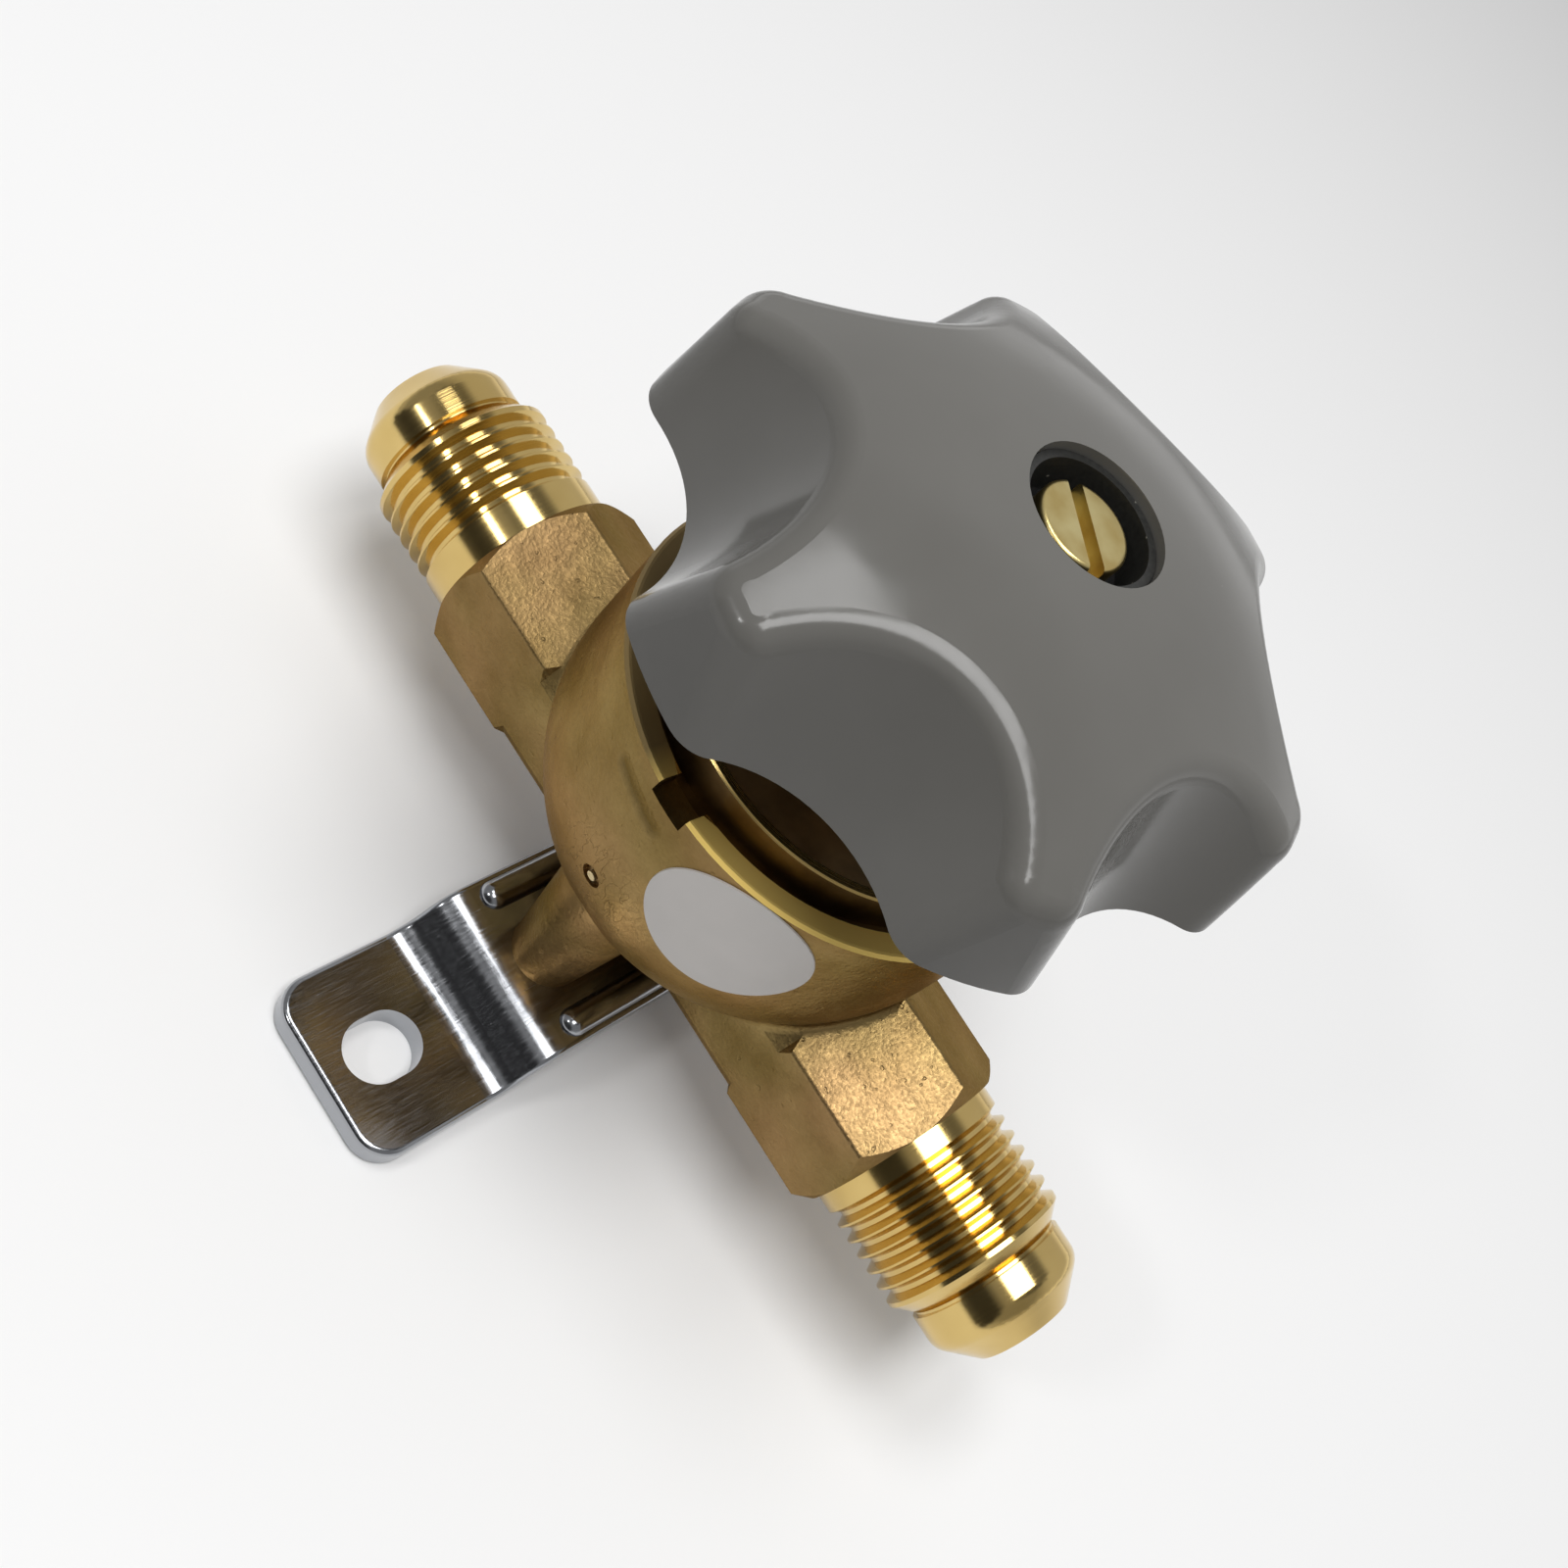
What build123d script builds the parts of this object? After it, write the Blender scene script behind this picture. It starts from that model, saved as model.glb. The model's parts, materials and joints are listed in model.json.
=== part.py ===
from build123d import *
from math import cos, radians, sin, tan
import os

# Hand-operated diaphragm valve for refrigerant lines, with two 45-degree flare ends.
# Millimetres. X runs along the ports and Z up the stem. Heights are measured from the port
# axis, and the finished parts are raised so that the origin lies under the stem, in the plane
# the bracket stands on. The valve is drawn open: handwheel, stem and plunger at their highest.

# Flare ends
THREAD_R = 15.875 / 2
THREAD_PITCH = 25.4 / 18
INLET_GROOVES = 5
INLET_LAND = 3.0
OUTLET_GROOVES = 6
OUTLET_LAND = 1.7
BORE_R = 3.6
NOSE_R = 6.8
NOSE_TIP_R = 4.2
HEX_END_X = 28.2
NOSE_START_X = 40.0
NOSE_LENGTH = 3.1
NOSE_EDGE_R = 1.8
UNDERCUT = 0.3
MOUTH_CHAMFER = 0.3

# Hexagons, and the necks of the same section with their corners taken off
HEX_FLATS = 17.0
HEX_CORNER_R = 0.5
HEX_CHAMFER = 1.3
HEX_STEP = 0.6
HEX_START_X = 17.1
NECK_BLEND_R = 1.0
NECK_RUN = 4.0

# Drum, outside the bonnet's screwed bore
BONNET_BORE_R = 16.9
DRUM_WALL = 2.2
RIM_Z = 22.2
RIM_CHAMFER = 0.25
RIM_FLAT = 0.2
RIM_SINK = 0.45
BOWL_Z = 13.0
BOWL_FLAT_R = 0.8
RIM_NOTCH_ANGLE = 268.5
RIM_NOTCH_WIDTH = 3.3
RIM_NOTCH_DEPTH = 1.3
PUNCH_ANGLE = 268.0
PUNCH_Z = 9.6
PUNCH_R = 0.95
PUNCH_CORE_R = 0.4
PUNCH_DEPTH = 0.9

# Inside of the body
LEDGE_Z = 13.4
CHAMBER_R = 12.0
CHAMBER_FLOOR_Z = 4.6
SEAT_Z = 7.6
SEAT_BORE_R = 4.0
SEAT_LIP_R = 5.2
SEAT_BASE_R = 6.1
OUTLET_RISER_X = 9.0
OUTLET_RISER_R = 2.6
FLOOR_MARGIN = 0.3

# Foot under the drum
FOOT_LENGTH = 30.4
FOOT_WIDTH = 6.4
FOOT_DRAFT = 6.0
FOOT_TOP_Z = 4.0
FOOT_Z = -10.2

# Bracket
STRIP_WIDTH = 15.8
STRIP_T = 2.5
BRACKET_DROP = 4.0
BEND_Y = 17.3
BEND_ANGLE = 55.0
BEND_R = 1.2
EAR_BEND_R = 3.0
STRIP_EDGE_R = 0.5
BRACKET_LENGTH = 65.2
EAR_CORNER_R = 3.0
EAR_SLOT_INSET = 5.7
EAR_SLOT_WIDTH = 5.5
EAR_SLOT_LENGTH = 6.8
BEAD_X = 6.1
BEAD_H = 0.95
BEAD_WIDTH = 2.6
BEAD_LENGTH = 29.6
BEAD_GROOVE_H = 0.7
BEAD_GROOVE_WIDTH = 1.6
BEAD_CREST_WIDTH = 0.2

# Bracket screws, from below into the foot
BRACKET_SCREW_Y = 8.0
BRACKET_SCREW_R = 2.0
BRACKET_SCREW_DEPTH = 4.6
BRACKET_HEAD_R = 3.4
BRACKET_HEAD_H = 2.2
BRACKET_WASHER_R = 3.9
BRACKET_WASHER_T = 0.8
BRACKET_SLOT_WIDTH = 1.0
BRACKET_SLOT_DEPTH = 0.9

# Bonnet
BONNET_LAND_Z = 20.6
BONNET_LAND_WIDTH = 1.0
BONNET_RIM_WIDTH = 0.8
BONNET_RIM_EDGE = 0.15
BONNET_TOP_Z = 24.0
BONNET_RECESS_Z = 22.5
BONNET_HEX_FLATS = 15.0
BONNET_HEX_TOP_Z = 27.4
BONNET_NECK_R = 7.3
BONNET_NECK_TOP_Z = 31.0
BONNET_CAVITY_Z = 16.9
GUIDE_R = 6.9
BACKSEAT_Z = 22.0
SEAL_POCKET_R = 6.0
SEAL_POCKET_Z = 28.6

# Stem
LIFT = 2.25
STEM_THREAD_R = 4.9
STEM_THREAD_TOP_Z = 28.5
STEM_R = 4.0
STEM_SQUARE = 5.6
STEM_SQUARE_Z = 36.0
STEM_TOP_Z = 44.6
COLLAR_R = 6.3
COLLAR_H = 0.9
BACKSEAT_RING_T = 0.55
STEM_CHAMFER = 0.5

# Diaphragms and what they press on
DIAPHRAGM_T = 0.2
DIAPHRAGM_MARGIN = 0.9
DIAPHRAGM_BEND = 0.35
DIAPHRAGM_CROWN_R = 6.0
SLIP_RING_R = 12.7
SLIP_RING_H = 1.2
BUTTON_EDGE_R = 1.0
PLUNGER_HUB_R = 6.2
PLUNGER_FLANGE_H = 1.2
PLUNGER_FLANGE_DROP = 0.3
PLUNGER_NOTCHES = 6
PLUNGER_NOTCH_R = 2.4
PLUNGER_SKIRT_R = 6.7
SEAT_DISC_R = 5.6
SEAT_DISC_T = 1.5
SEAT_DISC_PROUD = 0.5
DISC_SCREW_R = 1.5
DISC_HEAD_R = 2.4
DISC_HEAD_H = 1.1
DISC_SCREW_LENGTH = 3.6

# Opening spring
SPRING_R = 8.4
SPRING_WIRE_R = 0.5
SPRING_TURNS = 3.5

# Seal round the stem
O_RING_WIRE_R = 0.95
GLAND_FLANGE_R = 7.0
GLAND_FLANGE_H = 0.8

# Handwheel
LOBES = 6
LOBE_ANGLE = 17.9
WHEEL_BOTTOM_Z = 34.1
WHEEL_R = 26.3
WHEEL_DRAFT = 7.0
WHEEL_DOME_R = 48.0
WHEEL_TOP_Z = 49.3
WHEEL_WALL = 2.3
SCALLOP_CENTRE = 32.0
SCALLOP_R = 11.0
SCALLOP_FLARE = 18.7
LOBE_CORNER_R = 2.8
WHEEL_EDGE_R = 2.5
HUB_R = 8.3
HUB_BOTTOM_Z = 35.4
RIB_T = 1.6
RIB_BOTTOM_Z = 38.4
WHEEL_HOLE_R = 5.4

# What fixes the handwheel to the stem
INSERT_FLANGE_R = 7.9
INSERT_FLANGE_T = 1.1
INSERT_TOP_Z = 48.2
INSERT_WALL = 0.6
INSERT_FLOOR_Z = 44.8
WASHER_R = 4.4
WASHER_T = 0.5
SCREW_HEAD_R = 3.5
SCREW_HEAD_H = 2.5
SCREW_HEAD_EDGE_R = 0.4
SCREW_SLOT_WIDTH = 1.2
SCREW_SLOT_DEPTH = 1.2
SCREW_SLOT_ANGLE = -30.0
SCREW_R = 2.0
SCREW_LENGTH = 9.0

# Label
LABEL_ANGLE = 297.0
LABEL_Z = 16.2
LABEL_WIDTH = 13.0
LABEL_HEIGHT = 11.4
LABEL_T = 0.15

# Clearances, on the radius or on one side
THREAD_CLEARANCE = 0.06
RUNNING_CLEARANCE = 0.05
FACE_CLEARANCE = 0.02
CLOSED_GAP = 0.06
HOLE_CLEARANCE = 0.25

# For the shapes' construction: how near an edge lies to be picked, and how far a cut runs out
NEAR = 0.01
OVERRUN = 1.0

# Worked out from the sizes above
HEX_R = HEX_FLATS / 3 ** 0.5
DRUM_R = BONNET_BORE_R + DRUM_WALL
BOWL_R = DRUM_R - BOWL_FLAT_R
NOSE_END_X = NOSE_START_X + NOSE_LENGTH + NOSE_R - NOSE_TIP_R
BONNET_R = BONNET_BORE_R - THREAD_CLEARANCE
BONNET_RIM_R = BONNET_BORE_R - BONNET_LAND_WIDTH
DIAPHRAGM_R = BONNET_BORE_R - DIAPHRAGM_MARGIN
STACK_Z = LEDGE_Z + 3 * DIAPHRAGM_T
SLIP_RING_TOP_Z = STACK_Z + SLIP_RING_H
PLUNGER_TOP_Z = LEDGE_Z + LIFT
BUTTON_Z = STACK_Z + LIFT + FACE_CLEARANCE
STEM_Z = BACKSEAT_Z - BACKSEAT_RING_T - COLLAR_H - 2 * FACE_CLEARANCE
BUTTON_TOP_Z = STEM_Z - FACE_CLEARANCE
SEAT_DISC_Z = SEAT_Z + LIFT + CLOSED_GAP
FLANGE_TOP_Z = LEDGE_Z - PLUNGER_FLANGE_DROP
FLANGE_Z = FLANGE_TOP_Z - PLUNGER_FLANGE_H
EAR_Z = FOOT_Z - BRACKET_DROP
EAR_SLOT_Y = BRACKET_LENGTH / 2 - EAR_SLOT_INSET
WASHER_TOP_Z = INSERT_FLOOR_Z + WASHER_T
SCREW_TOP_Z = WASHER_TOP_Z + SCREW_HEAD_H
PORT_HEIGHT = STRIP_T - EAR_Z


def revolved(points):
    """Turn a closed outline, given as (radius, height) pairs, round the stem axis."""
    return revolve(Plane.XZ * make_face(Polyline(*points, close=True)), Axis.Z)


def turned_end(points):
    """Turn a closed outline, given as (distance along X, radius) pairs, round the port axis."""
    return revolve(make_face(Polyline(*points, close=True)), Axis.X)


def disc(radius, z_low, z_high):
    """A plain cylinder on the stem axis."""
    centred = Pos(0, 0, (z_low + z_high) / 2)
    return centred * Cylinder(radius, z_high - z_low)


def ring(r_in, r_out, z_low, z_high):
    """A plain ring on the stem axis."""
    return disc(r_out, z_low, z_high) - disc(r_in, z_low, z_high)


def flare_end(land, grooves):
    """Threaded end on the +X side: plain land, thread grooves, nose and 45-degree cone."""
    crest = THREAD_PITCH / 8
    root = THREAD_PITCH / 4
    flank = (THREAD_PITCH - crest - root) / 2
    depth = flank / tan(radians(30))
    points = [(HEX_START_X, 0), (HEX_START_X, THREAD_R), (HEX_END_X, THREAD_R)]
    x = HEX_END_X + land
    for _ in range(grooves):
        points += [(x, THREAD_R), (x + flank, THREAD_R - depth)]
        points += [(x + flank + root, THREAD_R - depth), (x + 2 * flank + root, THREAD_R)]
        x += THREAD_PITCH
    bevel = THREAD_R - NOSE_R + UNDERCUT
    points += [(NOSE_START_X - bevel, THREAD_R), (NOSE_START_X, THREAD_R - bevel)]
    points += [(NOSE_START_X + UNDERCUT, THREAD_R - bevel)]
    points += [(NOSE_START_X + UNDERCUT, NOSE_R), (NOSE_START_X + NOSE_LENGTH, NOSE_R)]
    points += [(NOSE_END_X, NOSE_TIP_R), (NOSE_END_X, 0)]
    end = turned_end(points)
    shoulders = [e for e in end.edges().filter_by(GeomType.CIRCLE)
                 if abs(e.center().X - NOSE_START_X - NOSE_LENGTH) < NEAR]
    end = fillet(shoulders, NOSE_EDGE_R)
    return end - Pos(NOSE_END_X, 0, 0) * Rot(0, 90, 0) * Cone(
        BORE_R, BORE_R + MOUTH_CHAMFER, MOUTH_CHAMFER, align=(Align.CENTER, Align.CENTER, Align.MAX))


def hexagonal_bar(x_low, x_high):
    """A length of the hexagon's section, one corner up."""
    section = fillet(RegularPolygon(HEX_R, 6).vertices(), HEX_CORNER_R)
    return extrude(Plane.YZ.offset(x_low) * Rot(0, 0, 90) * section, x_high - x_low)


def hexagon():
    """Spanner hexagon on the +X side, its corners turned down at both ends."""
    limit = turned_end([
        (HEX_START_X, 0), (HEX_START_X, HEX_R - HEX_STEP),
        (HEX_START_X + HEX_STEP, HEX_R), (HEX_END_X - HEX_CHAMFER, HEX_R),
        (HEX_END_X, HEX_R - HEX_CHAMFER), (HEX_END_X, 0)])
    return hexagonal_bar(HEX_START_X, HEX_END_X) & limit


def bowl():
    """The drum with its rounded underside, still solid."""
    middle = (BOWL_FLAT_R + BOWL_R * cos(radians(45)), BOWL_Z - BOWL_R * sin(radians(45)))
    outline = Line((0, BOWL_Z - BOWL_R), (BOWL_FLAT_R, BOWL_Z - BOWL_R))
    outline += ThreePointArc((BOWL_FLAT_R, BOWL_Z - BOWL_R), middle, (DRUM_R, BOWL_Z))
    outline += Polyline((DRUM_R, BOWL_Z), (DRUM_R, RIM_Z - RIM_CHAMFER),
                        (DRUM_R - RIM_CHAMFER, RIM_Z), (0, RIM_Z), (0, BOWL_Z - BOWL_R))
    return revolve(Plane.XZ * make_face(outline), Axis.Z)


def drum_with_necks():
    """The drum, and the neck out to each hexagon, with the forging's soft blend between."""
    reach = HEX_START_X + NECK_RUN
    neck = hexagonal_bar(-reach, reach) & Rot(0, 90, 0) * Cylinder(HEX_R - HEX_STEP, 2 * reach)
    core = bowl() + neck
    return fillet(core.edges().filter_by(GeomType.BSPLINE), NECK_BLEND_R)


def body_hollow():
    """Screwed bore, diaphragm ledge and chamber, less the raised seat in the middle."""
    hollow = revolved([
        (0, CHAMBER_FLOOR_Z), (CHAMBER_R, CHAMBER_FLOOR_Z), (CHAMBER_R, LEDGE_Z),
        (BONNET_BORE_R, LEDGE_Z), (BONNET_BORE_R, RIM_Z - RIM_SINK),
        (DRUM_R - RIM_CHAMFER - RIM_FLAT, RIM_Z), (0, RIM_Z)])
    seat = revolved([
        (0, CHAMBER_FLOOR_Z), (SEAT_BASE_R, CHAMBER_FLOOR_Z), (SEAT_LIP_R, SEAT_Z), (0, SEAT_Z)])
    return hollow - seat


def passages():
    """Inlet up through the seat, outlet from the chamber floor."""
    drill = Rot(0, 90, 0) * Cylinder(BORE_R, NOSE_END_X + OVERRUN,
                                     align=(Align.CENTER, Align.CENTER, Align.MIN))
    seat_bore = revolved([
        (0, -SEAT_BORE_R / 2), (SEAT_BORE_R, 0), (SEAT_BORE_R, SEAT_Z), (0, SEAT_Z)])
    outlet = Pos(OUTLET_RISER_X - OUTLET_RISER_R - FLOOR_MARGIN, 0, 0) * drill
    outlet_riser = Pos(OUTLET_RISER_X, 0, 0) * disc(OUTLET_RISER_R, 0, CHAMBER_FLOOR_Z)
    return mirror(drill, Plane.YZ) + seat_bore + outlet + outlet_riser


def at_drum_wall(angle, z):
    """A plane that touches the drum at an angle and height, its Z pointing outwards."""
    a = radians(angle)
    return Plane(origin=(DRUM_R * cos(a), DRUM_R * sin(a), z), x_dir=(-sin(a), cos(a), 0),
                 z_dir=(cos(a), sin(a), 0))


def foot():
    """Long forged pad under the drum, which stands on the bracket between its beads."""
    pad = extrude(Plane.XY.offset(FOOT_Z) * Rot(0, 0, 90) * SlotOverall(FOOT_LENGTH, FOOT_WIDTH),
                  FOOT_TOP_Z - FOOT_Z, taper=-FOOT_DRAFT)
    holes = [Pos(0, y, FOOT_Z) * Cylinder(BRACKET_SCREW_R + THREAD_CLEARANCE, BRACKET_SCREW_DEPTH,
                                          align=(Align.CENTER, Align.CENTER, Align.MIN))
             for y in (-BRACKET_SCREW_Y, BRACKET_SCREW_Y)]
    return pad, holes


def valve_body():
    """The forging with everything that is machined into it."""
    inlet = flare_end(INLET_LAND, INLET_GROOVES) + hexagon()
    outlet = flare_end(OUTLET_LAND, OUTLET_GROOVES) + hexagon()
    pad, screw_holes = foot()
    body = drum_with_necks() + mirror(inlet, Plane.YZ) + outlet + pad
    body -= body_hollow()
    body -= passages()
    body -= screw_holes
    reach = 2 * (DRUM_R - BONNET_BORE_R + OVERRUN)
    notch = Box(RIM_NOTCH_WIDTH, reach, 2 * RIM_NOTCH_DEPTH)
    body -= Rot(0, 0, RIM_NOTCH_ANGLE + 90) * Pos(0, -DRUM_R, RIM_Z) * notch
    mark = Circle(PUNCH_R) - Circle(PUNCH_CORE_R)
    return body - extrude(at_drum_wall(PUNCH_ANGLE, PUNCH_Z) * mark, -PUNCH_DEPTH)


def bonnet():
    """Screwed cover: clamps the diaphragms, guides the button and carries the stem thread."""
    thread_r = STEM_THREAD_R + THREAD_CLEARANCE
    recess_r = BONNET_RIM_R - BONNET_RIM_WIDTH
    cover = revolved([
        (CHAMBER_R, SLIP_RING_TOP_Z), (BONNET_R, SLIP_RING_TOP_Z),
        (BONNET_R, BONNET_LAND_Z), (BONNET_RIM_R, BONNET_LAND_Z),
        (BONNET_RIM_R, BONNET_TOP_Z - BONNET_RIM_EDGE),
        (BONNET_RIM_R - BONNET_RIM_EDGE, BONNET_TOP_Z),
        (recess_r, BONNET_TOP_Z), (recess_r, BONNET_RECESS_Z),
        (BONNET_NECK_R, BONNET_RECESS_Z), (BONNET_NECK_R, BONNET_NECK_TOP_Z),
        (SEAL_POCKET_R, BONNET_NECK_TOP_Z), (SEAL_POCKET_R, SEAL_POCKET_Z),
        (thread_r, SEAL_POCKET_Z), (thread_r, BACKSEAT_Z), (GUIDE_R, BACKSEAT_Z),
        (GUIDE_R, BONNET_CAVITY_Z), (CHAMBER_R, BONNET_CAVITY_Z)])
    section = RegularPolygon(BONNET_HEX_FLATS / 3 ** 0.5, 6)
    nut = extrude(Plane.XY.offset(BONNET_RECESS_Z) * section, BONNET_HEX_TOP_Z - BONNET_RECESS_Z)
    nut &= revolved([
        (0, BONNET_RECESS_Z), (BONNET_HEX_FLATS, BONNET_RECESS_Z),
        (BONNET_HEX_FLATS / 2, BONNET_HEX_TOP_Z), (0, BONNET_HEX_TOP_Z)])
    return cover + (nut - disc(SEAL_POCKET_R, BONNET_RECESS_Z, BONNET_HEX_TOP_Z))


def diaphragm(index):
    """One thin domed disc of the stack, clamped at its rim, its crown raised by the lift."""
    z = LEDGE_Z + index * DIAPHRAGM_T
    lower = [(0, z + LIFT), (DIAPHRAGM_CROWN_R, z + LIFT),
             (CHAMBER_R - DIAPHRAGM_BEND, z), (DIAPHRAGM_R, z)]
    upper = [(r, height + DIAPHRAGM_T) for r, height in reversed(lower)]
    return revolved(lower + upper)


def slip_ring():
    """Flat ring between the bonnet and the clamped rim of the diaphragms."""
    return ring(SLIP_RING_R, DIAPHRAGM_R, STACK_Z, SLIP_RING_TOP_Z)


def thrust_button():
    """Slides in the bonnet and presses the diaphragms down, with a soft lower edge."""
    button = disc(GUIDE_R - RUNNING_CLEARANCE, BUTTON_Z, BUTTON_TOP_Z)
    button = fillet(button.edges().sort_by(Axis.Z)[0], BUTTON_EDGE_R)
    return chamfer(button.edges().sort_by(Axis.Z)[-1], STEM_CHAMFER)


def plunger():
    """Carries the seat disc, is guided by its notched flange, and rises with the spring."""
    disc_top = SEAT_DISC_Z + SEAT_DISC_T
    skirt_z = SEAT_DISC_Z + SEAT_DISC_PROUD
    blank = revolved([
        (0, disc_top), (SEAT_DISC_R + RUNNING_CLEARANCE, disc_top),
        (SEAT_DISC_R + RUNNING_CLEARANCE, skirt_z), (PLUNGER_SKIRT_R, skirt_z),
        (PLUNGER_SKIRT_R, FLANGE_Z), (CHAMBER_R - RUNNING_CLEARANCE, FLANGE_Z),
        (CHAMBER_R - RUNNING_CLEARANCE, FLANGE_TOP_Z), (PLUNGER_HUB_R, FLANGE_TOP_Z),
        (PLUNGER_HUB_R, PLUNGER_TOP_Z - BUTTON_EDGE_R),
        (PLUNGER_HUB_R - BUTTON_EDGE_R, PLUNGER_TOP_Z - FACE_CLEARANCE),
        (0, PLUNGER_TOP_Z - FACE_CLEARANCE)])
    notch = Pos(CHAMBER_R, 0, (FLANGE_Z + FLANGE_TOP_Z) / 2) * Cylinder(
        PLUNGER_NOTCH_R, 2 * PLUNGER_FLANGE_H)
    for index in range(PLUNGER_NOTCHES):
        blank -= Rot(0, 0, index * 360 / PLUNGER_NOTCHES) * notch
    return blank - disc(DISC_SCREW_R + RUNNING_CLEARANCE, disc_top - OVERRUN,
                        SEAT_DISC_Z + DISC_SCREW_LENGTH + RUNNING_CLEARANCE)


def seat_disc():
    """Plastic disc that closes on the raised seat."""
    return ring(DISC_SCREW_R + RUNNING_CLEARANCE, SEAT_DISC_R, SEAT_DISC_Z,
                SEAT_DISC_Z + SEAT_DISC_T)


def disc_screw():
    """Round-headed screw that holds the seat disc up in the plunger."""
    shank = disc(DISC_SCREW_R, SEAT_DISC_Z, SEAT_DISC_Z + DISC_SCREW_LENGTH)
    head = disc(DISC_HEAD_R, SEAT_DISC_Z - DISC_HEAD_H, SEAT_DISC_Z)
    return shank + fillet(head.edges().sort_by(Axis.Z)[0], DISC_HEAD_H / 2)


def opening_spring():
    """Open coil between the chamber floor and the plunger's flange."""
    low = CHAMBER_FLOOR_Z + SPRING_WIRE_R + FACE_CLEARANCE
    high = FLANGE_Z - SPRING_WIRE_R - FACE_CLEARANCE
    path = Helix((high - low) / SPRING_TURNS, high - low, SPRING_R, center=(0, 0, low))
    start = Plane(origin=path @ 0, z_dir=path % 0)
    return sweep(start * Circle(SPRING_WIRE_R), path=path, is_frenet=True)


def stem():
    """Threaded spindle: collar below, M10 thread, shaft, and a square with a tapped hole."""
    shaft = revolved([
        (0, STEM_Z), (COLLAR_R, STEM_Z), (COLLAR_R, STEM_Z + COLLAR_H),
        (STEM_THREAD_R, STEM_Z + COLLAR_H), (STEM_THREAD_R, STEM_THREAD_TOP_Z - STEM_CHAMFER),
        (STEM_R, STEM_THREAD_TOP_Z), (STEM_R, STEM_SQUARE_Z), (0, STEM_SQUARE_Z)])
    square = Pos(0, 0, (STEM_SQUARE_Z + STEM_TOP_Z) / 2) * Box(
        STEM_SQUARE, STEM_SQUARE, STEM_TOP_Z - STEM_SQUARE_Z)
    hole_z = WASHER_TOP_Z - SCREW_LENGTH - STEM_CHAMFER
    return shaft + square - disc(SCREW_R + THREAD_CLEARANCE, hole_z, STEM_TOP_Z)


def backseat_ring():
    """Flat ring on the stem's collar that meets the bonnet when the valve is fully open."""
    low = STEM_Z + COLLAR_H + FACE_CLEARANCE
    return ring(STEM_THREAD_R + RUNNING_CLEARANCE, COLLAR_R, low, low + BACKSEAT_RING_T)


def dust_o_ring():
    """Rubber ring in the bonnet's pocket round the stem."""
    radius = STEM_R + RUNNING_CLEARANCE + O_RING_WIRE_R
    return Pos(0, 0, SEAL_POCKET_Z + O_RING_WIRE_R) * Torus(radius, O_RING_WIRE_R)


def gland_ring():
    """Flanged brass ring pressed into the top of the pocket."""
    bore = STEM_R + RUNNING_CLEARANCE
    low = SEAL_POCKET_Z + 2 * O_RING_WIRE_R + FACE_CLEARANCE
    return revolved([
        (bore, low), (SEAL_POCKET_R, low), (SEAL_POCKET_R, BONNET_NECK_TOP_Z),
        (GLAND_FLANGE_R, BONNET_NECK_TOP_Z),
        (GLAND_FLANGE_R, BONNET_NECK_TOP_Z + GLAND_FLANGE_H / 2),
        (GLAND_FLANGE_R - GLAND_FLANGE_H / 2, BONNET_NECK_TOP_Z + GLAND_FLANGE_H),
        (bore, BONNET_NECK_TOP_Z + GLAND_FLANGE_H)])


def lobed_dome(inset):
    """The handwheel's lobed shape, drawn in by a wall: a tapered drum under a dome,
    with a flared scallop between each two lobes."""
    height = WHEEL_TOP_Z - WHEEL_BOTTOM_Z
    top_r = WHEEL_R - inset - tan(radians(WHEEL_DRAFT)) * height
    blank = Pos(0, 0, WHEEL_BOTTOM_Z) * Cone(
        WHEEL_R - inset, top_r, height, align=(Align.CENTER, Align.CENTER, Align.MIN))
    blank &= Pos(0, 0, WHEEL_TOP_Z - WHEEL_DOME_R) * Sphere(WHEEL_DOME_R - inset)
    flare = tan(radians(SCALLOP_FLARE))
    scallop = Cone(SCALLOP_R + inset, SCALLOP_R + inset + flare * height, height,
                   align=(Align.CENTER, Align.CENTER, Align.MIN))
    for index in range(LOBES):
        turn = LOBE_ANGLE + (index + 0.5) * 360 / LOBES
        blank -= Rot(0, 0, turn) * Pos(SCALLOP_CENTRE, 0, WHEEL_BOTTOM_Z) * scallop
    return blank


def handwheel():
    """Hollow moulded cap with six lobes, a hub inside and a rib out to each lobe."""
    outer = lobed_dome(0)
    corners = [e for e in outer.edges() if e.bounding_box().min.Z < WHEEL_BOTTOM_Z + NEAR
               and e.bounding_box().max.Z > WHEEL_BOTTOM_Z + WHEEL_EDGE_R]
    outer = fillet(corners, LOBE_CORNER_R)
    rim = [e for e in outer.edges() if e.bounding_box().min.Z > WHEEL_BOTTOM_Z + WHEEL_EDGE_R]
    outer = fillet(rim, WHEEL_EDGE_R)
    inner = lobed_dome(WHEEL_WALL)
    hub = disc(HUB_R, HUB_BOTTOM_Z, WHEEL_TOP_Z) & outer
    rib = Box(WHEEL_R, RIB_T, WHEEL_TOP_Z - RIB_BOTTOM_Z,
              align=(Align.MIN, Align.CENTER, Align.MIN))
    wheel = outer - inner + hub
    for index in range(LOBES):
        turn = Rot(0, 0, LOBE_ANGLE + index * 360 / LOBES)
        wheel += (turn * Pos(0, 0, RIB_BOTTOM_Z) * rib) & outer
    return wheel - disc(WHEEL_HOLE_R, HUB_BOTTOM_Z, WHEEL_TOP_Z)


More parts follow.
